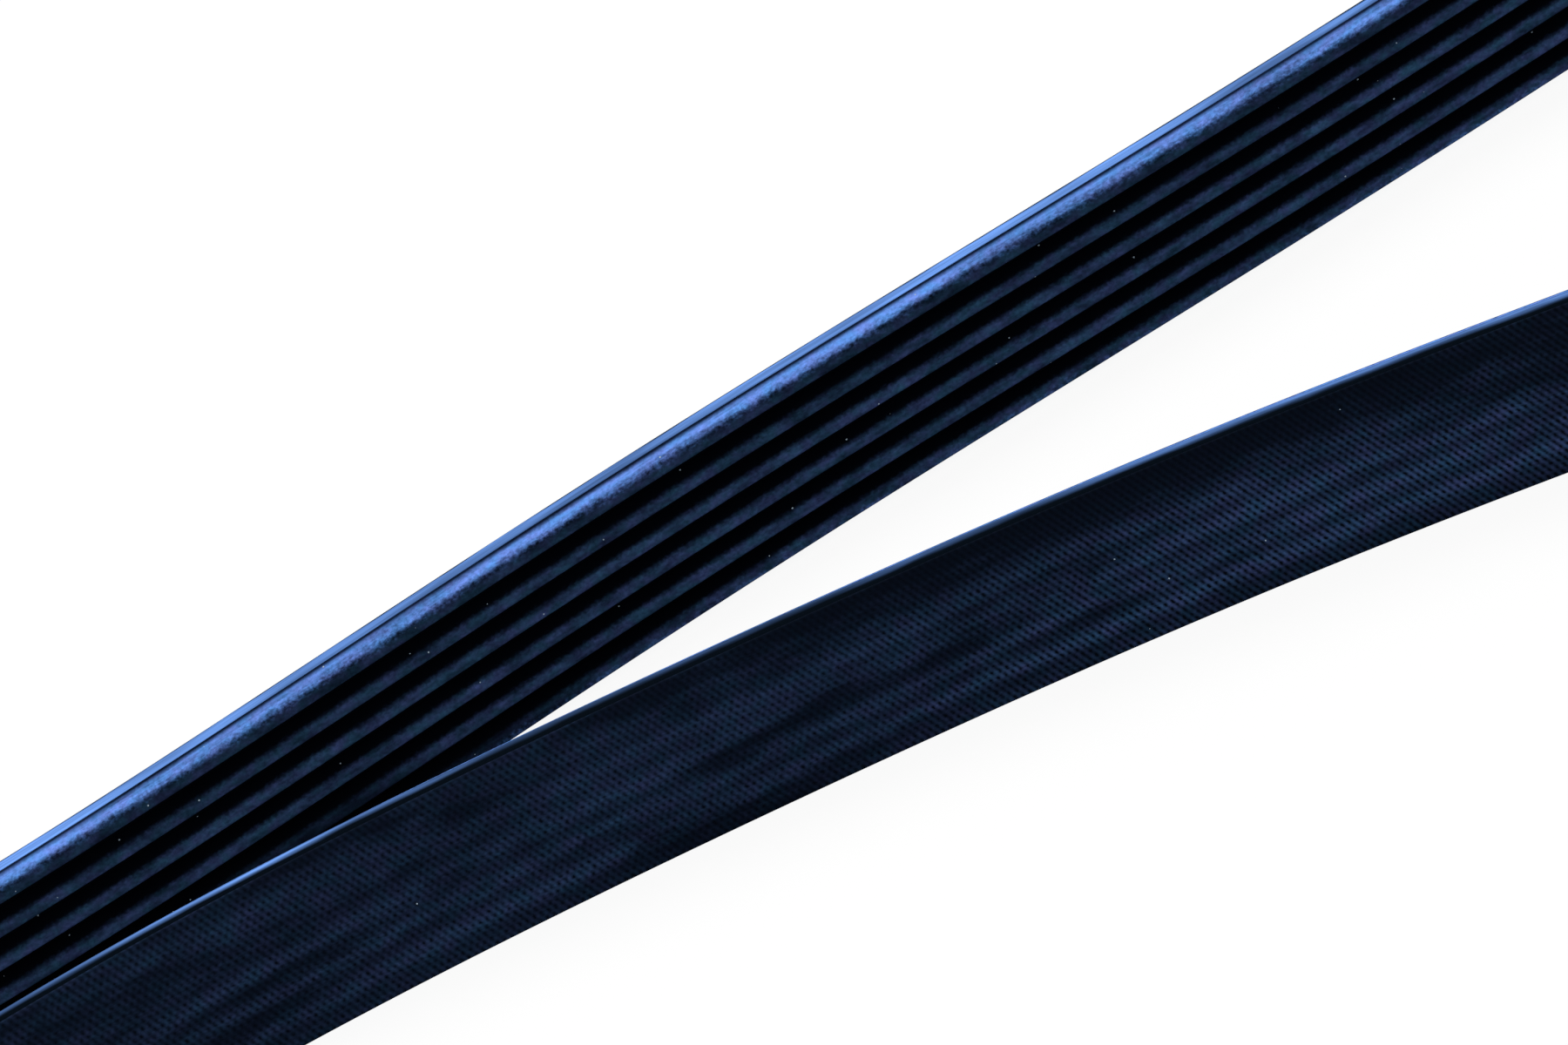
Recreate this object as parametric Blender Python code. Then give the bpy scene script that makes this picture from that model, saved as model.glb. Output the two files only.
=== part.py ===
"""Six-ribbed serpentine belt, standing on its cut edge in the loose loop it keeps by itself.

Run with: blender --background --python part.py

Metres, +Z up. The ground is at Z = 0, the loop is longest along X, and the origin lies on the
ground under the middle of the loop's box. The belt is one endless moulding of rubber, cord and
fabric, so it is one closed solid: a section with ribs on its inner side, carried round a plan
curve, its wall leaning a little. Sections are drawn in (inward, up): inward from the smooth back,
up from the lower edge.
"""
import math

import bmesh
import bpy
import numpy as np

MM = 0.001

# Section, with the ribs' standard pitch and angle
RIB_COUNT = 6
RIB_PITCH = 3.56 * MM
GROOVE_ANGLE = math.radians(40.0)
GROOVE_DEPTH = 2.10 * MM
GROOVE_FLOOR = 0.43 * MM
BACKING = 2.40 * MM
CREST_RADIUS = 0.30 * MM
BACK_RADIUS = 0.25 * MM

# Length of the belt along its cords, and how far the cords lie under the back
BELT_LENGTH = 1200.0 * MM
CORD_DEPTH = 1.20 * MM

# Shape of the loose loop: swings of the belt's direction, in radians, about an even circle
WAIST_SWING = 1.053
LOBE_SWING = 0.266
SIZE_SWING = 0.050
SKEW_SWING = 0.109

# The limp wall leans in and out twice round the loop, by this slope at most
WALL_LEAN = 0.095

# Fineness of the faceted solid
STATIONS = 96
CREST_STEPS = 1
BACK_STEPS = 2
STRAIGHT_BEND = 1.0 / (200.0 * MM)
SAMPLES = 3600
CLOSING_ROUNDS = 12
SHARP_ANGLE = math.radians(30.0)

RUBBER_COLOUR = (0.010, 0.014, 0.024, 1.0)
RUBBER_ROUGHNESS = 0.62


def clear_scene():
    for thing in list(bpy.data.objects):
        bpy.data.objects.remove(thing, do_unlink=True)


def rounded_corner(before, corner, after, radius, steps):
    """Points of the arc that replaces a corner between two straight sides."""
    before, corner, after = np.array(before), np.array(corner), np.array(after)
    to_before = (before - corner) / np.linalg.norm(before - corner)
    to_after = (after - corner) / np.linalg.norm(after - corner)
    half = math.acos(np.clip(to_before @ to_after, -1.0, 1.0)) / 2.0
    middle = (to_before + to_after) / np.linalg.norm(to_before + to_after)
    centre = corner + middle * radius / math.sin(half)
    start = corner + to_before * radius / math.tan(half) - centre
    end = corner + to_after * radius / math.tan(half) - centre
    sweep = math.pi - 2.0 * half
    points = []
    for step in range(steps + 1):
        share = step / steps
        weight_start = math.sin((1.0 - share) * sweep) / math.sin(sweep)
        weight_end = math.sin(share * sweep) / math.sin(sweep)
        points.append(tuple(centre + start * weight_start + end * weight_end))
    return points


def belt_section():
    """Closed outline in (inward, up): the ribs from the lower edge upwards, then the back."""
    width = RIB_COUNT * RIB_PITCH
    crest = BACKING + GROOVE_DEPTH
    flank = GROOVE_DEPTH * math.tan(GROOVE_ANGLE / 2.0)
    points = [(BACKING, 0.0)]
    for rib in range(RIB_COUNT):
        low = rib * RIB_PITCH + GROOVE_FLOOR / 2.0
        high = (rib + 1) * RIB_PITCH - GROOVE_FLOOR / 2.0
        foot_low, foot_high = (BACKING, low), (BACKING, high)
        corner_low, corner_high = (crest, low + flank), (crest, high - flank)
        points.append(foot_low)
        points += rounded_corner(foot_low, corner_low, corner_high, CREST_RADIUS, CREST_STEPS)
        points += rounded_corner(corner_low, corner_high, foot_high, CREST_RADIUS, CREST_STEPS)
        points.append(foot_high)
    root_top, back_top = (BACKING, width), (0.0, width)
    back_bottom, root_bottom = (0.0, 0.0), (BACKING, 0.0)
    points.append(root_top)
    points += rounded_corner(root_top, back_top, back_bottom, BACK_RADIUS, BACK_STEPS)
    points += rounded_corner(back_top, back_bottom, root_bottom, BACK_RADIUS, BACK_STEPS)
    return points


def direction(turn, closing):
    """Heading of the belt where an even circle would have turned by this much."""
    heading = turn + closing[0] * np.sin(turn) + closing[1] * np.cos(turn)
    heading = heading - WAIST_SWING * np.sin(2.0 * turn) + LOBE_SWING * np.sin(4.0 * turn)
    return heading - SIZE_SWING * np.sin(3.0 * turn) - SKEW_SWING * np.cos(3.0 * turn)


def closing_swing(turn):
    """The once-round swing that brings the belt's end back to its start, by Newton's method."""
    closing = np.zeros(2)
    basis = np.stack([np.sin(turn), np.cos(turn)])
    for _ in range(CLOSING_ROUNDS):
        heading = direction(turn, closing)
        miss = np.array([np.cos(heading).mean(), np.sin(heading).mean()])
        slope = np.stack([(-np.sin(heading) * basis).mean(axis=1), (np.cos(heading) * basis).mean(axis=1)])
        closing = closing - np.linalg.solve(slope, miss)
    return closing


def loop_stations():
    """Places (east, north, heading, lean) on the cord line, closer together in sharper bends."""
    turn = 2.0 * math.pi * (np.arange(SAMPLES) + 0.5) / SAMPLES
    heading = direction(turn, closing_swing(turn))
    step = BELT_LENGTH / SAMPLES
    east = np.cumsum(np.cos(heading)) * step
    north = np.cumsum(np.sin(heading)) * step
    bend = np.abs(np.gradient(heading)) / step + STRAIGHT_BEND
    share = np.cumsum(bend) / bend.sum()
    lean = -WALL_LEAN * np.sin(2.0 * turn)
    wanted = (np.arange(STATIONS) + 0.5) / STATIONS
    return np.stack([np.interp(wanted, share, along) for along in (east, north, heading, lean)], axis=1)


def closed_curve(name, points):
    """A closed curve object through points in its own XY plane."""
    data = bpy.data.curves.new(name, "CURVE")
    data.dimensions = "3D"
    spline = data.splines.new("POLY")
    spline.points.add(len(points) - 1)
    for point, (x, y) in zip(spline.points, points):
        point.co = (x, y, 0.0, 1.0)
    spline.use_cyclic_u = True
    curve = bpy.data.objects.new(name, data)
    bpy.context.collection.objects.link(curve)
    return curve


def sweep_belt(name, path, section):
    """The solid that the section leaves behind as it is carried, upright, round the path."""
    path.data.twist_mode = "Z_UP"
    path.data.bevel_mode = "OBJECT"
    path.data.bevel_object = section
    graph = bpy.context.evaluated_depsgraph_get()
    mesh = bpy.data.meshes.new_from_object(path.evaluated_get(graph))
    belt = bpy.data.objects.new(name, mesh)
    bpy.context.collection.objects.link(belt)
    bpy.data.objects.remove(path, do_unlink=True)
    bpy.data.objects.remove(section, do_unlink=True)
    return belt


def lean_wall(mesh, stations):
    """Slides each point inward by the lean of its station times its height, so both edges stay level."""
    for vertex in mesh.vertices:
        distances = np.hypot(stations[:, 0] - vertex.co.x, stations[:, 1] - vertex.co.y)
        east, north, heading, lean = stations[np.argmin(distances)]
        vertex.co.x -= math.sin(heading) * lean * vertex.co.z
        vertex.co.y += math.cos(heading) * lean * vertex.co.z


def finish_mesh(mesh):
    """Centres the solid over the origin, turns its faces outwards and shades its round parts."""
    shape = bmesh.new()
    shape.from_mesh(mesh)
    places = np.array([vertex.co for vertex in shape.verts])
    middle = (places.min(axis=0) + places.max(axis=0)) / 2.0
    bmesh.ops.translate(shape, verts=shape.verts, vec=(-middle[0], -middle[1], -places[:, 2].min()))
    bmesh.ops.recalc_face_normals(shape, faces=shape.faces)
    shape.to_mesh(mesh)
    shape.free()
    mesh.shade_smooth()
    mesh.set_sharp_from_angle(angle=SHARP_ANGLE)


def rubber_material():
    material = bpy.data.materials.new("navy_black_rubber")
    material.use_nodes = True
    shader = material.node_tree.nodes["Principled BSDF"]
    shader.inputs["Base Color"].default_value = RUBBER_COLOUR
    shader.inputs["Roughness"].default_value = RUBBER_ROUGHNESS
    shader.inputs["Metallic"].default_value = 0.0
    return material


def build_belt():
    stations = loop_stations()
    path = closed_curve("loop_path", stations[:, :2])
    outward_from_cords = [(CORD_DEPTH - inward, up) for inward, up in belt_section()]
    section = closed_curve("belt_section", outward_from_cords)
    belt = sweep_belt("ribbed_belt", path, section)
    lean_wall(belt.data, stations)
    finish_mesh(belt.data)
    belt.data.materials.clear()
    belt.data.materials.append(rubber_material())
    return belt


clear_scene()
build_belt()
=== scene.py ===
# %% [markdown]
# A ribbed drive belt, finished in Blender
#
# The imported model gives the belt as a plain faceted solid, in metres, standing on its cut edge.
# This lesson keeps its place and size and makes the surface: a woven back, ground rubber ribs and
# two knife-cut edges. It starts by loading that solid and noting the space that it fills.

# %% Load the frame
import math

import bmesh
import bpy
import numpy as np
from mathutils import Matrix, Vector


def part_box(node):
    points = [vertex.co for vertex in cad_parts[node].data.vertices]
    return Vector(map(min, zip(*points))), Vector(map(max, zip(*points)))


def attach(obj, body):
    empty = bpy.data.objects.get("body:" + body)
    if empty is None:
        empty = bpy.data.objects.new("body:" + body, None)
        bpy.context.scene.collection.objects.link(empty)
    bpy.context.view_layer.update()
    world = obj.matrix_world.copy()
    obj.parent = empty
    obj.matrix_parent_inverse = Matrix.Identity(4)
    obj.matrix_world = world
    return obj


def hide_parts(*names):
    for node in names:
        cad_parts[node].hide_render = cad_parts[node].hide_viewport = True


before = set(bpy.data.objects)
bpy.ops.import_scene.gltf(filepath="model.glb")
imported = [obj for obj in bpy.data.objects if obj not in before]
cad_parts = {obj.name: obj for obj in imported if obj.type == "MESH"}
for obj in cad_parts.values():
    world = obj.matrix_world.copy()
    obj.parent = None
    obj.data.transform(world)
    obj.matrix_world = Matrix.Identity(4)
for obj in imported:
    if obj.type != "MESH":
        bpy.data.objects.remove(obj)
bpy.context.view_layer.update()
belt_low, belt_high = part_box("ribbed_belt")
MM = 0.001
print("belt box in mm:", [round(side / MM, 2) for side in belt_high - belt_low])

# %% [markdown]
# Sizes. A belt of this kind is described by its rib pitch, the angle of its grooves and its length
# along the cords. The width comes from the frame, and six ribs share it, so the pitch follows. The
# other sizes repeat the ones that the solid was made with, because the skin has to lie on it.

# %% Section and length of the belt
RIB_COUNT = 6
WIDTH = belt_high.z - belt_low.z
RIB_PITCH = WIDTH / RIB_COUNT
GROOVE_ANGLE = math.radians(40.0)
GROOVE_DEPTH = 2.10 * MM
GROOVE_FLOOR = 0.43 * MM
BACKING = 2.40 * MM
CREST_RADIUS = 0.30 * MM
BACK_RADIUS = 0.25 * MM
FLOOR_RADIUS = 0.10 * MM
BELT_LENGTH = 1200.0 * MM
CORD_DEPTH = 1.20 * MM
print("rib pitch in mm:", round(RIB_PITCH / MM, 3))

# %% [markdown]
# The camera. The photograph is a close view of the two long runs, taken from far away with a long
# lens, so the belt's width hardly shrinks with distance. A Track To constraint could aim a camera,
# but it keeps the horizon level, and this one was held askew. So it is placed by the point that it
# looks at, its direction round that point, its height above the ground and its roll to one side,
# and a matrix made of the picture's own right, up and back directions says all of that at once.

# %% Camera
AIM = Vector((29.285 * MM, 50.594 * MM, 0.0))
AZIMUTH = math.radians(10.9)
ELEVATION = math.radians(25.82)
ROLL = math.radians(34.69)
DISTANCE = 2.0
LENS_MM = 396.3
FARTHEST_SEEN = 50.0


def aimed_camera():
    sideways = Vector((math.cos(AZIMUTH), math.sin(AZIMUTH), 0.0))
    back = Vector((math.sin(AZIMUTH) * math.cos(ELEVATION),
                   -math.cos(AZIMUTH) * math.cos(ELEVATION), math.sin(ELEVATION)))
    upward = back.cross(sideways)
    right = math.cos(ROLL) * sideways - math.sin(ROLL) * upward
    top = math.sin(ROLL) * sideways + math.cos(ROLL) * upward
    camera = bpy.data.objects.new("camera", bpy.data.cameras.new("camera"))
    turn = Matrix((right, top, back)).transposed().to_4x4()
    camera.matrix_world = Matrix.Translation(AIM + DISTANCE * back) @ turn
    camera.data.lens = LENS_MM
    camera.data.clip_end = FARTHEST_SEEN
    bpy.context.collection.objects.link(camera)
    return camera


bpy.context.scene.camera = aimed_camera()
bpy.context.scene.view_settings.view_transform = "Standard"
print("camera at", [round(v, 3) for v in bpy.context.scene.camera.matrix_world.translation])

# %% [markdown]
# Helpers for materials. Colours are easier to judge as the hex values of a paint program, but a
# shader works in linear light, so one function turns one into the other. A second one adds a node,
# sets its values and plugs in its links, which keeps every material below a short list. Inputs go
# in by their order or by name. A Map Range node takes a value, where it starts and ends, and what
# to give there. A Mix node for colours takes its share as input 0 and the two colours as 6 and 7.


# %% Colour and node helpers
def linear(code):
    """Linear colour, with alpha, of an sRGB hex value such as 1b2a44, by the curve of that standard."""
    shares = [int(code[place:place + 2], 16) / 255.0 for place in (0, 2, 4)]
    return [v / 12.92 if v <= 0.04045 else ((v + 0.055) / 1.055) ** 2.4 for v in shares] + [1.0]


def add(tree, kind, inputs=(), output=0, **settings):
    """One output of a new node with its settings and its inputs, which are values or links."""
    node = tree.nodes.new("ShaderNode" + kind)
    for name, value in settings.items():
        setattr(node, name, value)
    named = inputs if isinstance(inputs, dict) else dict(enumerate(inputs))
    for name, value in named.items():
        if isinstance(value, bpy.types.NodeSocket):
            tree.links.new(value, node.inputs[name])
        else:
            node.inputs[name].default_value = value
    return node.outputs[output]


def new_material(name):
    """A new material, its node tree and its Principled shader, already wired to the output."""
    material = bpy.data.materials.new(name)
    material.use_nodes = True
    return material, material.node_tree, material.node_tree.nodes["Principled BSDF"]


# %% [markdown]
# The stage is a wide white table under white air. The table is matt, and it glows a little to the
# camera alone, so it looks white and still keeps the belt's shadow. The air is white to the camera
# too, and gives the belt an even light from all round. One large soft lamp hangs over the belt and
# a little behind it: it makes the upward faces bright and leaves the grooves dark, as a ceiling
# lamp does. A weaker one fills in from the front.

# %% Table, air and lamps
TABLE_RADIUS = 9.0
TABLE_SIDES = 96
TABLE_WHITE = linear("ffffff")
TABLE_IN_SHADE = linear("8c9098")
TABLE_GLOW = 0.92
AIR_GLOW = 0.42


def white_table():
    shape = bmesh.new()
    bmesh.ops.create_circle(shape, cap_ends=True, segments=TABLE_SIDES, radius=TABLE_RADIUS)
    mesh = bpy.data.meshes.new("table")
    shape.to_mesh(mesh)
    shape.free()
    table = bpy.data.objects.new("table", mesh)
    bpy.context.collection.objects.link(table)
    material, tree, shader = new_material("matt_white_laminate")
    seen = add(tree, "LightPath", output="Is Camera Ray")
    colour = add(tree, "Mix", {0: seen, 6: TABLE_IN_SHADE, 7: TABLE_WHITE}, 2, data_type="RGBA")
    tree.links.new(colour, shader.inputs["Base Color"])
    shader.inputs["Roughness"].default_value = 1.0
    shader.inputs["Specular IOR Level"].default_value = 0.0
    glow = add(tree, "Emission", {"Color": TABLE_WHITE, "Strength": 1.0})
    share = add(tree, "Math", (seen, TABLE_GLOW), operation="MULTIPLY")
    mixed = add(tree, "MixShader", (share, shader.outputs[0], glow))
    tree.links.new(mixed, tree.nodes["Material Output"].inputs["Surface"])
    mesh.materials.append(material)


def white_air():
    world = bpy.data.worlds.new("white_air")
    world.use_nodes = True
    tree = world.node_tree
    seen = add(tree, "LightPath", output="Is Camera Ray")
    glow = add(tree, "MapRange", {"Value": seen, "To Min": AIR_GLOW, "To Max": 1.0})
    tree.links.new(glow, tree.nodes["Background"].inputs["Strength"])
    tree.nodes["Background"].inputs["Color"].default_value = TABLE_WHITE
    bpy.context.scene.world = world


def soft_lamp(name, place, width, depth, watts):
    light = bpy.data.lights.new(name, "AREA")
    light.shape = "RECTANGLE"
    light.size, light.size_y, light.energy = width, depth, watts
    lamp = bpy.data.objects.new(name, light)
    lamp.location = place
    lamp.rotation_euler = (-Vector(place)).to_track_quat("-Z", "Y").to_euler()
    lamp.visible_camera = False
    bpy.context.collection.objects.link(lamp)


white_table()
white_air()
soft_lamp("overhead_softbox", place=(0.0, 0.55, 1.3), width=1.5, depth=0.9, watts=15.0)
soft_lamp("front_fill", place=(0.1, -1.6, 0.9), width=1.6, depth=1.0, watts=9.0)
print("stage ready, table radius", TABLE_RADIUS, "m")

# %% [markdown]
# The plan of the loop. A loose belt keeps its length however it is pushed about, so its shape is
# best written as a heading that changes along the length. A curve through hand-placed points would
# look much the same, but its length would be whatever came out. An even circle turns steadily. Four
# swings on top of that, in radians, pinch the waist, round the lobes, make one lobe larger and skew
# the waist. A once-round swing is then found that brings the end back to the start. The limp wall
# doesn't stand quite upright either: it leans in and out twice round the loop, by this slope at
# most.

# %% Loop as a heading along the length
WAIST_SWING = 1.053
LOBE_SWING = 0.266
SIZE_SWING = 0.050
SKEW_SWING = 0.109
WALL_LEAN = 0.095
SAMPLES = 7200
CLOSING_ROUNDS = 12


def direction(turn, closing):
    """Heading of the belt where an even circle would have turned by this much."""
    heading = turn + closing[0] * np.sin(turn) + closing[1] * np.cos(turn)
    heading = heading - WAIST_SWING * np.sin(2.0 * turn) + LOBE_SWING * np.sin(4.0 * turn)
    return heading - SIZE_SWING * np.sin(3.0 * turn) - SKEW_SWING * np.cos(3.0 * turn)


def closing_swing(turn):
    """The once-round swing that closes the loop, by Newton's method."""
    closing = np.zeros(2)
    basis = np.stack([np.sin(turn), np.cos(turn)])
    for _ in range(CLOSING_ROUNDS):
        heading = direction(turn, closing)
        miss = np.array([np.cos(heading).mean(), np.sin(heading).mean()])
        miss_by_swing = np.stack([-np.sin(heading) * basis, np.cos(heading) * basis]).mean(axis=2)
        closing = closing - np.linalg.solve(miss_by_swing, miss)
    return closing


def cord_line(stations):
    """East, north, heading and lean at evenly spaced stations, with the first again as the last."""
    middles = 2.0 * math.pi * (np.arange(SAMPLES) + 0.5) / SAMPLES
    closing = closing_swing(middles)
    heading = direction(middles, closing)
    steps = np.stack([np.cos(heading), np.sin(heading)]) * BELT_LENGTH / SAMPLES
    track = np.concatenate([np.zeros((2, 1)), np.cumsum(steps, axis=1)], axis=1)
    print("end of the loop to its start in mm:", np.round(track[:, -1] / MM, 6))
    turn = 2.0 * math.pi * np.arange(stations + 1) / stations
    east, north = track[:, ::SAMPLES // stations]
    return east, north, direction(turn, closing), -WALL_LEAN * np.sin(2.0 * turn)


# %% [markdown]
# The section. Its outline is drawn in two directions, inward from the smooth back and up from the
# lower edge. Straight sides and a Bevel modifier would round the corners too, but by one width for
# all. Here each corner is an arc of its own radius, because a corner that is ground or moulded
# catches a soft line of light and a perfectly sharp one doesn't. Each stretch of the outline also
# remembers its finish, so that the woven back, the ribs and the cut edges can be told apart.

# %% Outline of the section with its finishes
CREST_LEVEL = BACKING + GROOVE_DEPTH
CORNER_STEPS = 3
FLOOR_STEPS = 2
FLANK_PARTS = 2
BACK_PARTS = 4
EDGE_PARTS = 2
BACK, RIBS, EDGE = range(3)


def rounded(before, corner, after, radius, steps=CORNER_STEPS):
    """Arc in place of a corner between two straight sides, as a list of points."""
    before, corner, after = np.array(before), np.array(corner), np.array(after)
    one = (before - corner) / np.linalg.norm(before - corner)
    two = (after - corner) / np.linalg.norm(after - corner)
    half = math.acos(float(np.clip(one @ two, -1.0, 1.0))) / 2.0
    centre = corner + (one + two) / np.linalg.norm(one + two) * radius / math.sin(half)
    start = corner + one * radius / math.tan(half) - centre
    end = corner + two * radius / math.tan(half) - centre
    sweep = math.pi - 2.0 * half
    points = []
    for share in np.arange(steps + 1) / steps:
        spoke = start * math.sin((1.0 - share) * sweep) + end * math.sin(share * sweep)
        points.append(tuple(centre + spoke / math.sin(sweep)))
    return points


def between(one, two, parts):
    """Points that divide a straight stretch, without its ends."""
    one, two = np.array(one), np.array(two)
    return [tuple(one + (two - one) * k / parts) for k in range(1, parts)]


def rib_outline(rib):
    """One rib, from the groove floor below it to the groove floor above it."""
    flank = GROOVE_DEPTH * math.tan(GROOVE_ANGLE / 2.0)
    low = rib * RIB_PITCH
    high = low + RIB_PITCH
    foot_low, foot_high = (BACKING, low + GROOVE_FLOOR / 2.0), (BACKING, high - GROOVE_FLOOR / 2.0)
    tip_low, tip_high = (CREST_LEVEL, foot_low[1] + flank), (CREST_LEVEL, foot_high[1] - flank)
    rise = rounded((BACKING, low), foot_low, tip_low, FLOOR_RADIUS, FLOOR_STEPS)
    turn_in = rounded(foot_low, tip_low, tip_high, CREST_RADIUS)
    turn_out = rounded(tip_low, tip_high, foot_high, CREST_RADIUS)
    fall = rounded(tip_high, foot_high, (BACKING, high), FLOOR_RADIUS, FLOOR_STEPS)
    points = rise + between(rise[-1], turn_in[0], FLANK_PARTS) + turn_in
    points += between(turn_in[-1], turn_out[0], FLANK_PARTS) + turn_out
    return points + between(turn_out[-1], fall[0], FLANK_PARTS) + fall


def outline():
    """Closed outline as (point, finish of the stretch that starts there), upwards along the ribs."""
    low_root, top_root = (BACKING, 0.0), (BACKING, WIDTH)
    low_back, top_back = (0.0, 0.0), (0.0, WIDTH)
    top_round = rounded(top_root, top_back, low_back, BACK_RADIUS)
    low_round = rounded(top_back, low_back, low_root, BACK_RADIUS)
    made = [(low_root, RIBS)]
    for rib in range(RIB_COUNT):
        made += [(point, RIBS) for point in rib_outline(rib)]
    top_edge = [top_root] + between(top_root, top_round[0], EDGE_PARTS) + top_round[:1]
    made += [(point, EDGE) for point in top_edge]
    back = top_round[1:] + between(top_round[-1], low_round[0], BACK_PARTS) + low_round[:-1]
    made += [(point, BACK) for point in back]
    low_edge = low_round[-1:] + between(low_round[-1], low_root, EDGE_PARTS)
    made += [(point, EDGE) for point in low_edge]
    return made


section = outline()
corners = np.array([point for point, finish in section] + [section[0][0]])
girth = np.concatenate([[0.0], np.cumsum(np.hypot(*np.diff(corners, axis=0).T))]) / MM
print("outline points:", len(section), "girth in mm:", round(girth[-1], 2))

# %% [markdown]
# The skin. A curve with a bevel object would sweep the section round the loop, and the plain solid
# was made so. Here the belt is laid out flat first, because a weave and long streaks need a map
# that follows the bends. The grid operator makes one row of faces for each stretch of the outline
# and one column for each station, with a texture map. Each corner of the grid is then carried to
# its place on the standing belt, and the seams are merged.
#
# Besides the flat map, in millimetres, each face corner remembers a place on a plain round hoop
# whose width is the girth of the section. A cloudy pattern read from the flat map would show a cut
# where the map ends. Read from the hoop, it closes on itself and keeps its size along the belt.

# %% Wrap a flat grid round the loop
STATIONS = 800
MERGE_DISTANCE = 0.00001
HOOP_RADIUS = BELT_LENGTH / MM / (2.0 * math.pi)


def stand_up(shape):
    """Carries the corners of a flat grid, two units wide and high, to the surface of the belt."""
    east, north, heading, lean = cord_line(STATIONS)
    flat = np.array([vertex.co for vertex in shape.verts])
    column = np.rint((flat[:, 0] + 1.0) / 2.0 * STATIONS).astype(int)
    row = np.rint((flat[:, 1] + 1.0) / 2.0 * len(section)).astype(int)
    inward, up = corners[row].T
    shift = inward - CORD_DEPTH + lean[column] * up
    x = east[column] - np.sin(heading[column]) * shift
    y = north[column] + np.cos(heading[column]) * shift
    x = x - (x.min() + x.max()) / 2.0
    y = y - (y.min() + y.max()) / 2.0
    depth_layer = shape.verts.layers.float.new("inward")
    for vertex, place, depth in zip(shape.verts, zip(x, y, up + belt_low.z), inward / MM):
        vertex.co = place
        vertex[depth_layer] = depth


def lay_maps(shape):
    """Turns the grid's own map into millimetres, adds the hoop's and gives each row its finish."""
    flat_layer = shape.loops.layers.uv["along_and_across"]
    hoop_layer = shape.loops.layers.float_vector.new("hoop_place")
    for face in shape.faces:
        strip = round(min(loop[flat_layer].uv.y for loop in face.loops) * len(section))
        face.material_index = section[strip][1]
        for loop in face.loops:
            along, across = loop[flat_layer].uv
            turn = 2.0 * math.pi * along
            around = girth[round(across * len(section))]
            loop[flat_layer].uv = (along * BELT_LENGTH / MM, around)
            loop[hoop_layer] = (HOOP_RADIUS * math.cos(turn), HOOP_RADIUS * math.sin(turn), around)


shape = bmesh.new()
shape.loops.layers.uv.new("along_and_across")
bmesh.ops.create_grid(shape, x_segments=STATIONS, y_segments=len(section), size=1.0, calc_uvs=True)
stand_up(shape)
lay_maps(shape)
bmesh.ops.remove_doubles(shape, verts=shape.verts, dist=MERGE_DISTANCE)
bmesh.ops.recalc_face_normals(shape, faces=shape.faces)
open_edges = sum(not edge.is_manifold for edge in shape.edges)
print("faces", len(shape.faces), "open edges", open_edges)
print("volume in cm3:", round(shape.calc_volume() * 1e6, 2))

# %% [markdown]
# The mesh becomes an object. Smooth shading lets light run softly over the many small faces, as it
# does over moulded rubber. Where two faces meet at more than the sharp angle, as where each cut
# edge ends beside the ribs, the line between them stays crisp.

# %% Belt object
SHARP_ANGLE = math.radians(40.0)

belt_mesh = bpy.data.meshes.new("belt_moulding")
shape.to_mesh(belt_mesh)
shape.free()
belt_mesh.shade_smooth()
belt_mesh.set_sharp_from_angle(angle=SHARP_ANGLE)
belt = bpy.data.objects.new("belt_moulding", belt_mesh)
bpy.context.collection.objects.link(belt)
print("attributes:", [attribute.name for attribute in belt_mesh.attributes if "_" in attribute.name])

# %% [markdown]
# Helpers for the finishes. A cloudy pattern is read from the hoop, and its blobs are given by their
# length along the belt and their height across it, in millimetres: long and low ones make streaks.
# Such a pattern mostly stays between 0.3 and 0.7, so a second helper stretches it into a value that
# wanders to both sides of a middle. A third strews grains of pale dust, such as any black belt
# picks up from a bench. A Voronoi texture has one point in each cell, and a tiny ball round each
# point is a grain. The belt's surface cuts through few of the balls, most of them near the rim, so
# the grains are rare and differ in size. The last helper does what every finish ends with.

# %% Patterns that follow the belt
NOISE_SPAN = (0.3, 0.7)
GRAIN_RADIUS = 0.11
DUST_COLOUR = linear("a9bccb")
SKY_SHEEN = linear("9fc0ff")


def hoop_place(tree):
    """Place on the hoop, in mm. Its second direction points at the large lobe."""
    return add(tree, "Attribute", output="Vector", attribute_name="hoop_place")


def hoop_noise(tree, along, across, detail=2.0, roughness=0.5):
    """Cloudy pattern with blobs of that size in mm, closed on itself round the belt."""
    scale = (1.0 / along, 1.0 / along, 1.0 / across)
    sized = add(tree, "Mapping", {0: hoop_place(tree), "Scale": scale})
    inputs = {"Vector": sized, "Scale": 1.0, "Detail": detail, "Roughness": roughness}
    return add(tree, "TexNoise", inputs)


def wander(tree, noise, swing, middle=0.0):
    """A value that the noise carries to both sides of a middle, by this swing at most."""
    return add(tree, "MapRange", (noise, *NOISE_SPAN, middle - swing, middle + swing))


def dusted(tree, colour, spacing):
    """The colour with a few grains of pale dust, from a cloud of them spaced by this many mm."""
    cells = {"Vector": hoop_place(tree), "Scale": 1.0 / spacing}
    nearest = add(tree, "TexVoronoi", cells, "Distance")
    grain = add(tree, "Math", (nearest, GRAIN_RADIUS / spacing), operation="LESS_THAN")
    return add(tree, "Mix", {0: grain, 6: colour, 7: DUST_COLOUR}, 2, data_type="RGBA")


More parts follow.
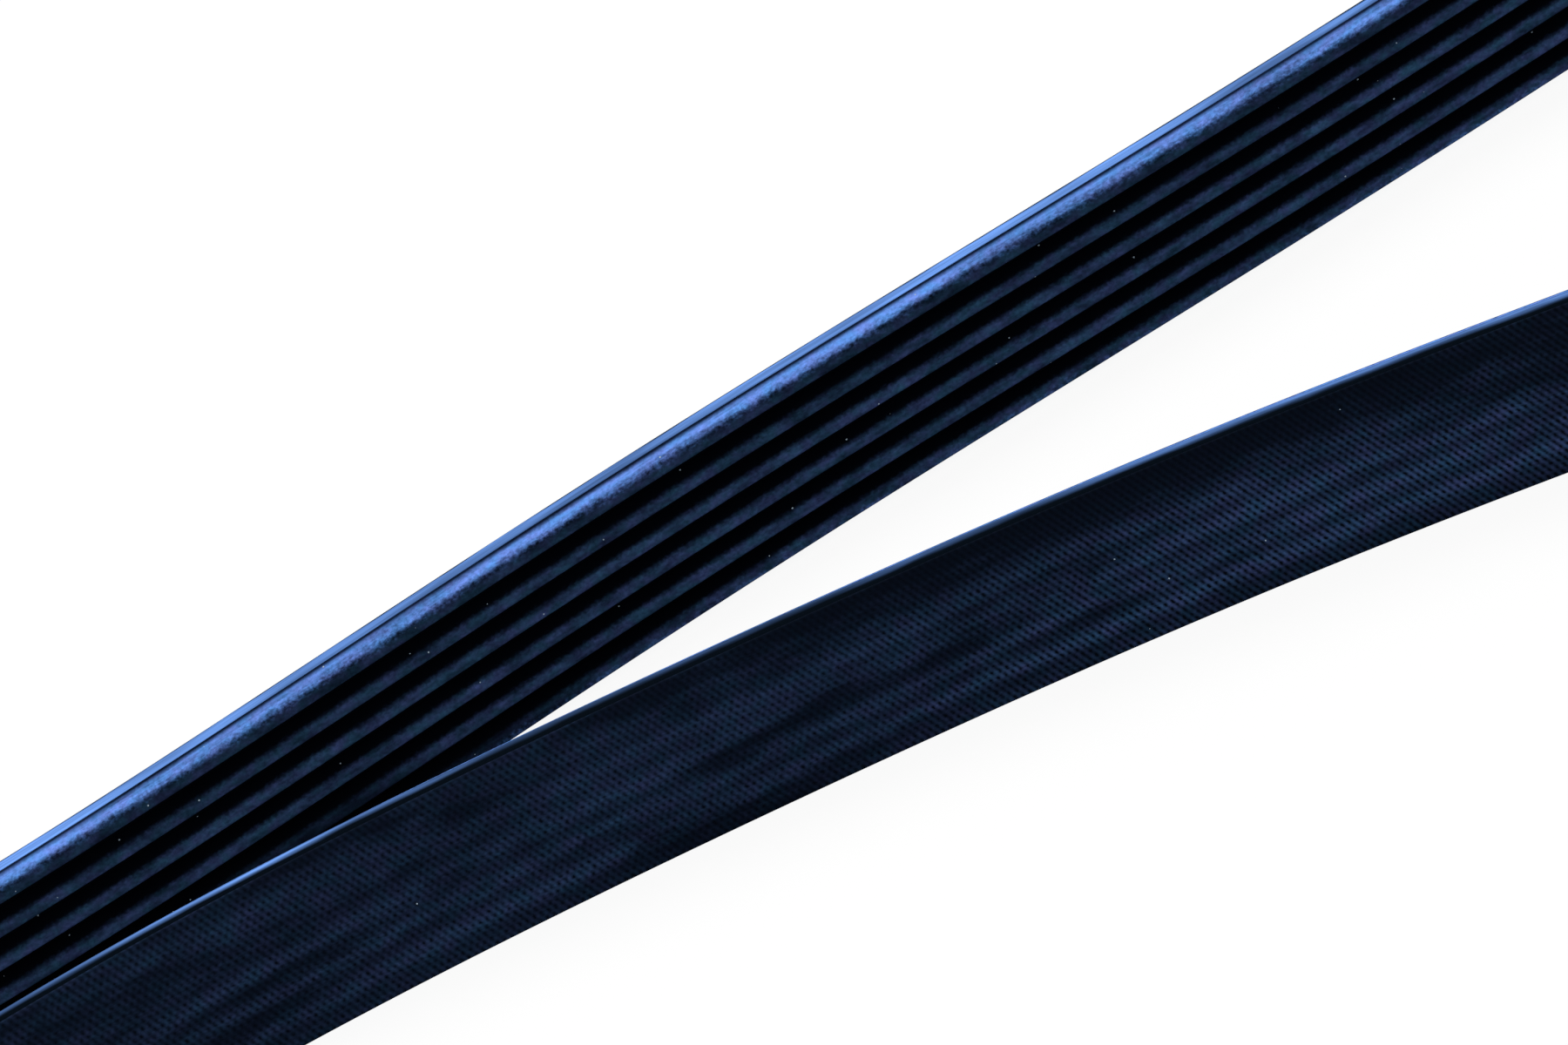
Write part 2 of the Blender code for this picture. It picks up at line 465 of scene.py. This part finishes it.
def dress(tree, shader, colour, height, relief, strength, roughness, specular):
    """Gives the shader its colour, a bump of this relief and strength, and a sheen like a pale sky."""
    bump = add(tree, "Bump", {"Height": height, "Distance": relief, "Strength": strength})
    tree.links.new(colour, shader.inputs["Base Color"])
    tree.links.new(bump, shader.inputs["Normal"])
    shader.inputs["Roughness"].default_value = roughness
    shader.inputs["Specular IOR Level"].default_value = specular
    shader.inputs["Specular Tint"].default_value = SKY_SHEEN


# %% [markdown]
# The back is a woven fabric, cut on the slant, laid into the mould and soaked with rubber. From a
# hand's distance one sees small dark pits, under a millimetre apart, in slanting rows, with pale
# thread between them. One row direction is much plainer than the others, because the threads that
# run that way lie on top. Modelled threads would take millions of faces. A wave for each direction
# costs nothing, and each has a whole number of crests round the belt, so the weave closes on
# itself. Single fibres are too fine to show, and a noise of about half a millimetre stands for
# them.

# %% Pits of the weave
# Each row direction: spacing along and across in mm, depth, and whether its threads lie on top
PIT_ROWS = (
    (0.9494, 2.488, 0.178, True),
    (-0.9479, 1.220, 0.055, False),
    (-600.0, 0.8186, 0.026, False),
)
CLOTH_LEVEL = 0.5
FIBRE_SWING = 0.12


def weave_height(tree, plainness):
    """Height of the cloth, with its rows of pits. The rows on top are as plain as asked for."""
    flat = add(tree, "UVMap", uv_map="along_and_across")
    along, across = [add(tree, "SeparateXYZ", (flat,), axis) for axis in "XY"]
    height = CLOTH_LEVEL
    for spacing_along, spacing_across, depth, on_top in PIT_ROWS:
        crests = round(BELT_LENGTH / MM / spacing_along)
        run = add(tree, "Math", (along, crests / HOOP_RADIUS), operation="MULTIPLY")
        climb = (across, -2.0 * math.pi / spacing_across, run)
        phase = add(tree, "Math", climb, operation="MULTIPLY_ADD")
        wave = add(tree, "Math", (phase,), operation="COSINE")
        if on_top:
            wave = add(tree, "Math", (wave, plainness), operation="MULTIPLY")
        height = add(tree, "Math", (wave, -depth, height), operation="MULTIPLY_ADD")
    fibres = wander(tree, hoop_noise(tree, along=0.6, across=0.35), FIBRE_SWING)
    return add(tree, "Math", (height, fibres), operation="ADD")


print("crests round the belt:", [round(BELT_LENGTH / MM / abs(row[0])) for row in PIT_ROWS])

# %% [markdown]
# The six ribs show through the fabric as faint bands, paler behind the grooves. The fabric is also
# rubbed paler in long patches, and painted shade darkens it towards both edges. Towards the large
# lobe the thread is paler, its rows of pits are plainer and the painted shade at the upper edge is
# deeper. The hoop's second direction says how near a point is to that lobe, so a Map Range node that
# reads it makes each change.

# %% Woven back
PIT_COLOUR = linear("03060d")
THREAD_TEAL = linear("274463")
THREAD_VIOLET = linear("333e65")
THREAD_HEIGHT = 0.09 * MM
# From nothing to all of the thread, by the height of the cloth, and from teal to violet, by noise
THREAD_SPAN = (0.2, 0.9)
HUE_SPAN = (0.35, 0.65)
# Two stretches on the way to the large lobe, with what holds at the start and the end of each
LOBE_STRETCH = (0.18 * HOOP_RADIUS, 0.34 * HOOP_RADIUS)
PLAINNESS = (0.8, 1.25)
PALENESS = (0.74, 1.06)
TOP_STRETCH = (0.05 * HOOP_RADIUS, 0.25 * HOOP_RADIUS)
TOP_SHADE = (0.75, 0.2)
# Heights over which painted shade darkens the fabric towards its edges
TOP_FADE = (WIDTH - 8.5 * MM, WIDTH - 0.8 * MM)
FOOT_FADE = (0.5 * MM, 2.6 * MM)
FOOT_SHADE = 0.55
# Bands behind the ribs, and the heights over which they grow weaker
BAND_OFFSET = 0.35 * MM
BAND_WANDER = 0.45 * MM
BAND_FADE = (0.35 * WIDTH, 0.8 * WIDTH)
BAND_SWING = (0.36, 0.08)
# The sum of two noises that gives the least and the most rubbed patches, and how pale those are
RUBBED_SPAN = (0.83, 1.18)
RUBBED_SHARE = (0.30, 1.50)


def rib_bands(tree, up, noise):
    """About 1: more behind the grooves and less behind the ribs, growing weaker towards the top."""
    level = add(tree, "Math", (up, wander(tree, noise, BAND_WANDER)), operation="ADD")
    turn = 2.0 * math.pi / RIB_PITCH
    phase = add(tree, "Math", (level, turn, -turn * BAND_OFFSET), operation="MULTIPLY_ADD")
    wave = add(tree, "Math", (phase,), operation="COSINE")
    swing = add(tree, "MapRange", (up, *BAND_FADE, *BAND_SWING))
    return add(tree, "Math", (wave, swing, 1.0), operation="MULTIPLY_ADD")


def rubbed_and_shaded_share(tree, lobe):
    """How much of the thread's colour shows: worn in patches, banded, and darkened by painted shade
    towards both edges.
    """
    up = add(tree, "SeparateXYZ", (add(tree, "TexCoord", output="Object"),), "Z")
    patches = hoop_noise(tree, along=14.0, across=2.8, detail=5.0, roughness=0.62)
    clouds = hoop_noise(tree, along=70.0, across=9.0, detail=1.0)
    thread_share = add(tree, "Math", (patches, clouds), operation="ADD")
    thread_share = add(tree, "MapRange", (thread_share, *RUBBED_SPAN, *RUBBED_SHARE))
    # Painted shade towards the lower and the upper edge of the back
    foot_shade = add(tree, "MapRange", (up, *FOOT_FADE, FOOT_SHADE, 1.0))
    shade = add(tree, "MapRange", (lobe, *TOP_STRETCH, *TOP_SHADE))
    top = add(tree, "MapRange", (up, *TOP_FADE, 1.0, shade))
    paleness = add(tree, "MapRange", (lobe, *LOBE_STRETCH, *PALENESS))
    for share in (foot_shade, top, paleness, rib_bands(tree, up, patches)):
        thread_share = add(tree, "Math", (thread_share, share), operation="MULTIPLY")
    return thread_share


def woven_back():
    material, tree, shader = new_material("woven_fabric_in_rubber")
    lobe = add(tree, "SeparateXYZ", (hoop_place(tree),), "Y")
    height = weave_height(tree, add(tree, "MapRange", (lobe, *LOBE_STRETCH, *PLAINNESS)))
    shown = add(tree, "MapRange", (height, *THREAD_SPAN))
    shown = add(tree, "Math", (shown, rubbed_and_shaded_share(tree, lobe)), operation="MULTIPLY")
    hue = add(tree, "MapRange", (hoop_noise(tree, along=2.8, across=2.0, detail=3.0), *HUE_SPAN))
    thread = add(tree, "Mix", {0: hue, 6: THREAD_TEAL, 7: THREAD_VIOLET}, 2, data_type="RGBA")
    tones = {0: shown, 6: PIT_COLOUR, 7: thread}
    colour = add(tree, "Mix", tones, 2, data_type="RGBA", clamp_factor=False)
    colour = dusted(tree, colour, spacing=4.5)
    dress(tree, shader, colour, height, THREAD_HEIGHT, strength=0.7, roughness=0.62, specular=0.10)
    return material


belt_mesh.materials.append(woven_back())
print("finish of the back:", belt_mesh.materials[BACK].name)

# %% [markdown]
# The ribs are moulded rubber whose crests were ground to height, and the grinding leaves each crest
# mottled. Painted shade darkens each crest towards its edges, least a little below its middle, and
# paints the grooves black. The height above the table says where the crests are: a Ping-Pong node
# folds it into the distance from the nearest groove, so one short chain serves all six ribs. The upper
# crests are a little duller, and towards the small lobe the lowest ones carry a painted shadow of the
# other run, which stands close in front of them there. The grain that grinding leaves is finer than
# the picture shows, so it is drawn about half a millimetre wide.

# %% Ground crests
# Painted shade, near black, in the grooves
GROOVE_SHADE = linear("020307")
CREST_TEAL = linear("27455f")
CREST_VIOLET = linear("344169")
CREST_MOTTLE = 0.55
CREST_GRAIN = 0.30
# How far the palest line lies below the middle of a crest, and the fade of the painted shade from
# groove to that line
PALE_DROP = 0.32 * MM
PALE_FADE = (RIB_PITCH / 2.0 - 1.30 * MM, RIB_PITCH / 2.0 - 0.45 * MM)
PALE_WANDER = 0.08 * MM
# Heights over which the crests grow duller towards the top
CREST_FADE = (WIDTH - 2.5 * RIB_PITCH, WIDTH - 0.5 * RIB_PITCH)
CREST_SHADE = 0.6
# Painted shadow of the other run: on the way to the small lobe, the height below which crests are
# darkened climbs from one to the other
SHADOW_STRETCH = (0.06 * HOOP_RADIUS, -0.16 * HOOP_RADIUS)
SHADOW_LEVEL = (-0.6 * MM, 6.4 * MM)
SHADOW_FADE = (-1.0 * MM, 1.0 * MM)
SHADOW_SHARE = 0.3


def crest_colour(tree, hue, grain, mottle):
    """Painted shade: black in the grooves, palest a little below the middle of each crest, which is
    mottled.
    """
    up = add(tree, "SeparateXYZ", (add(tree, "TexCoord", output="Object"),), "Z")
    rise = add(tree, "Math", (up, PALE_DROP), operation="ADD")
    rise = add(tree, "Math", (rise, RIB_PITCH / 2.0), operation="PINGPONG")
    rise = add(tree, "Math", (rise, wander(tree, grain, PALE_WANDER)), operation="ADD")
    # Painted shade across each crest, from black in the grooves to the palest line
    lit = add(tree, "MapRange", (rise, *PALE_FADE), interpolation_type="SMOOTHSTEP")
    top = add(tree, "MapRange", (up, *CREST_FADE, 1.0, CREST_SHADE))
    # Painted shadow of the other run on the lowest crests towards the small lobe
    lobe = add(tree, "SeparateXYZ", (hoop_place(tree),), "Y")
    level = add(tree, "MapRange", (lobe, *SHADOW_STRETCH, *SHADOW_LEVEL))
    above = add(tree, "Math", (up, level), operation="SUBTRACT")
    shadowed = add(tree, "MapRange", (above, *SHADOW_FADE, SHADOW_SHARE, 1.0))
    mottled = wander(tree, mottle, CREST_MOTTLE, middle=1.0)
    grainy = wander(tree, grain, CREST_GRAIN, middle=1.0)
    for share in (top, shadowed, mottled, grainy):
        lit = add(tree, "Math", (lit, share), operation="MULTIPLY")
    tint = add(tree, "Mix", {0: hue, 6: CREST_TEAL, 7: CREST_VIOLET}, 2, data_type="RGBA")
    tones = {0: lit, 6: GROOVE_SHADE, 7: tint}
    return add(tree, "Mix", tones, 2, data_type="RGBA", clamp_factor=False)


print("rib crests reach", round(CREST_LEVEL / MM, 2), "mm in from the back")

# %% [markdown]
# The outermost flanks are different. They were cut and ground with the edges, and they face up out
# of the grooves, so they carry a painted highlight of the light from above, between cyan and violet
# and cloudy like chalk, which fades out softly and unevenly where the flank turns into the crest.
# Painted shade takes most of it away in the crease at the foot of the flank. The hoop's third
# direction runs round the section, so it says how far a point lies outside the outermost crests.

# %% Painted highlight on the outer flanks and the finish of the ribs
# Painted highlight of the light from above on the outermost flanks
HIGHLIGHT_CYAN = linear("5f98ea")
HIGHLIGHT_VIOLET = linear("7092ea")
# Fade of the painted highlight, in mm round the section outwards from the edge of the crest
HIGHLIGHT_FADE = (-0.75, 1.20)
HIGHLIGHT_MOTTLE = 0.30
HIGHLIGHT_GRAIN = 0.28
# Cloudiness of the chalky highlight, its speckle, and its painted shade in the crease, in mm from the
# back
CHALK_SPAN = (0.34, 0.56)
CHALK_SHARE = (0.5, 1.0)
CHALK_SPECKLE = 0.18
FLANK_CREASE_FADE = (BACKING / MM, BACKING / MM + 0.62)
FLANK_CREASE_SHADE = 0.08


def highlight_share(tree, grain, mottle):
    """1 on the two outermost flanks, fading unevenly to 0 past the corner where the crest starts."""
    crests = girth[:-1][corners[:-1, 0] > CREST_LEVEL - 0.5 * CREST_RADIUS]
    around = add(tree, "SeparateXYZ", (hoop_place(tree),), "Z")
    before = add(tree, "Math", (float(crests[0]), around), operation="SUBTRACT")
    after = add(tree, "Math", (around, float(crests[-1])), operation="SUBTRACT")
    reach = add(tree, "Math", (before, after), operation="MAXIMUM")
    for noise, swing in ((mottle, HIGHLIGHT_MOTTLE), (grain, HIGHLIGHT_GRAIN)):
        reach = add(tree, "Math", (reach, wander(tree, noise, swing)), operation="ADD")
    return add(tree, "MapRange", (reach, *HIGHLIGHT_FADE), interpolation_type="SMOOTHSTEP")


def highlight_colour(tree, hue, grain):
    """Painted highlight, cloudy and speckled, with painted shade in the crease at the flank's lowest
    part.
    """
    clouds = hoop_noise(tree, along=18.0, across=1.2, detail=4.0, roughness=0.6)
    brightness = add(tree, "MapRange", (clouds, *CHALK_SPAN, *CHALK_SHARE))
    brightness = add(tree, "Math", (brightness, wander(tree, grain, CHALK_SPECKLE)), operation="ADD")
    inward = add(tree, "Attribute", output="Fac", attribute_name="inward")
    foot_shade = add(tree, "MapRange", (inward, *FLANK_CREASE_FADE, FLANK_CREASE_SHADE, 1.0))
    brightness = add(tree, "Math", (brightness, foot_shade), operation="MULTIPLY")
    tint = add(tree, "Mix", {0: hue, 6: HIGHLIGHT_CYAN, 7: HIGHLIGHT_VIOLET}, 2, data_type="RGBA")
    tones = {0: brightness, 6: GROOVE_SHADE, 7: tint}
    return add(tree, "Mix", tones, 2, data_type="RGBA", clamp_factor=False)


def ground_ribs():
    material, tree, shader = new_material("ground_rubber_ribs")
    grain = hoop_noise(tree, along=0.55, across=0.45, roughness=0.6)
    mottle = hoop_noise(tree, along=4.0, across=1.4, detail=4.0, roughness=0.6)
    hue = add(tree, "MapRange", (hoop_noise(tree, along=2.2, across=1.4), *HUE_SPAN))
    crest = crest_colour(tree, hue, grain, mottle)
    highlight = highlight_colour(tree, hue, grain)
    share = highlight_share(tree, grain, mottle)
    colour = add(tree, "Mix", {0: share, 6: crest, 7: highlight}, 2, data_type="RGBA")
    colour = dusted(tree, colour, spacing=2.8)
    dress(tree, shader, colour, grain, relief=0.05 * MM, strength=0.5, roughness=0.70, specular=0.06)
    return material


belt_mesh.materials.append(ground_ribs())
print("finish of the ribs:", belt_mesh.materials[RIBS].name)

# %% [markdown]
# The edges were cut with a knife from a wide sleeve of belt. The cut shows rubber and the ends of
# threads, with a painted pale blue highlight of the light from above and long streaks that follow
# the knife, and painted shade darkens it in the crease beside the ribs. The two long runs differ. On
# one the highlight reaches almost to the corner with the back. On the other painted shade covers the
# cut from that corner inwards, most at the waist and less towards each lobe. One fade from that
# corner inwards draws both. Its start and its end, in mm from the back, change round the belt, and
# the hoop's two level directions say where to use which pair.

# %% Knife-cut edges
# Painted highlight of the light from above on the cut, and the black rubber under painted shade
CUT_HIGHLIGHT = linear("6590d8")
CUT_DARK = linear("01070f")
# Start and end of the fade in mm from the back: on the lit run, then at three places of the one in
# painted shade
LIT_RUN_FADE = (0.1, 0.6)
SHADE_AT_WAIST = (0.9, 5.6)
SHADE_AT_LARGE = (0.85, 3.2)
SHADE_AT_SMALL = (1.0, 2.5)
FADE_WANDER = 0.15
# Where those three places lie on the hoop's second direction
WAIST_PLACE = 0.08 * HOOP_RADIUS
LARGE_PLACE = 0.45 * HOOP_RADIUS
SMALL_PLACE = -0.14 * HOOP_RADIUS
# Wear of the cut in patches and streaks, and its painted shade in the crease, in mm from the back
PATCH_SWING = 0.5
STREAK_SWING = 0.25
CREASE_FADE = (BACKING / MM - 0.3, BACKING / MM)
CREASE_SHADE = 0.6


def cut_highlight_share(tree, depth):
    """0 under painted shade and 1 under the painted highlight, with a fade that changes round the belt.
    """
    place = hoop_place(tree)
    side, lobe = [add(tree, "SeparateXYZ", (place,), axis) for axis in "XY"]
    to_large = add(tree, "MapRange", (lobe, WAIST_PLACE, LARGE_PLACE))
    to_small = add(tree, "MapRange", (lobe, WAIST_PLACE, SMALL_PLACE))
    limits = []
    for lit_cut, waist, large, small in zip(LIT_RUN_FADE, SHADE_AT_WAIST, SHADE_AT_LARGE, SHADE_AT_SMALL):
        shaded = add(tree, "MapRange", (to_large, 0.0, 1.0, waist, large))
        shaded = add(tree, "MapRange", (to_small, 0.0, 1.0, shaded, small))
        limits.append(add(tree, "MapRange", (side, -HOOP_RADIUS, HOOP_RADIUS, lit_cut, shaded)))
    return add(tree, "MapRange", (depth, *limits), interpolation_type="SMOOTHSTEP")


def cut_edges():
    material, tree, shader = new_material("knife_cut_rubber")
    inward = add(tree, "Attribute", output="Fac", attribute_name="inward")
    uneven = wander(tree, hoop_noise(tree, along=9.0, across=0.8), FADE_WANDER)
    # Painted highlight on the cut, with painted shade from the back corner and in the crease
    lit_cut = cut_highlight_share(tree, add(tree, "Math", (inward, uneven), operation="ADD"))
    crease = add(tree, "MapRange", (inward, *CREASE_FADE, 1.0, CREASE_SHADE))
    patches = hoop_noise(tree, along=28.0, across=3.0, detail=1.0)
    streaks = hoop_noise(tree, along=12.0, across=0.45, detail=3.0, roughness=0.6)
    worn = [wander(tree, patches, PATCH_SWING, 1.0), wander(tree, streaks, STREAK_SWING, 1.0)]
    for share in (crease, *worn):
        lit_cut = add(tree, "Math", (lit_cut, share), operation="MULTIPLY")
    tones = {0: lit_cut, 6: CUT_DARK, 7: CUT_HIGHLIGHT}
    colour = add(tree, "Mix", tones, 2, data_type="RGBA", clamp_factor=False)
    grain = hoop_noise(tree, along=1.2, across=0.4, roughness=0.6)
    dress(tree, shader, colour, grain, relief=0.04 * MM, strength=0.5, roughness=0.72, specular=0.015)
    return material


belt_mesh.materials.append(cut_edges())
print("finish of the edges:", belt_mesh.materials[EDGE].name)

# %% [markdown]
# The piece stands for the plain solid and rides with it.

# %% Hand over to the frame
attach(belt, "root")
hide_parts("ribbed_belt")
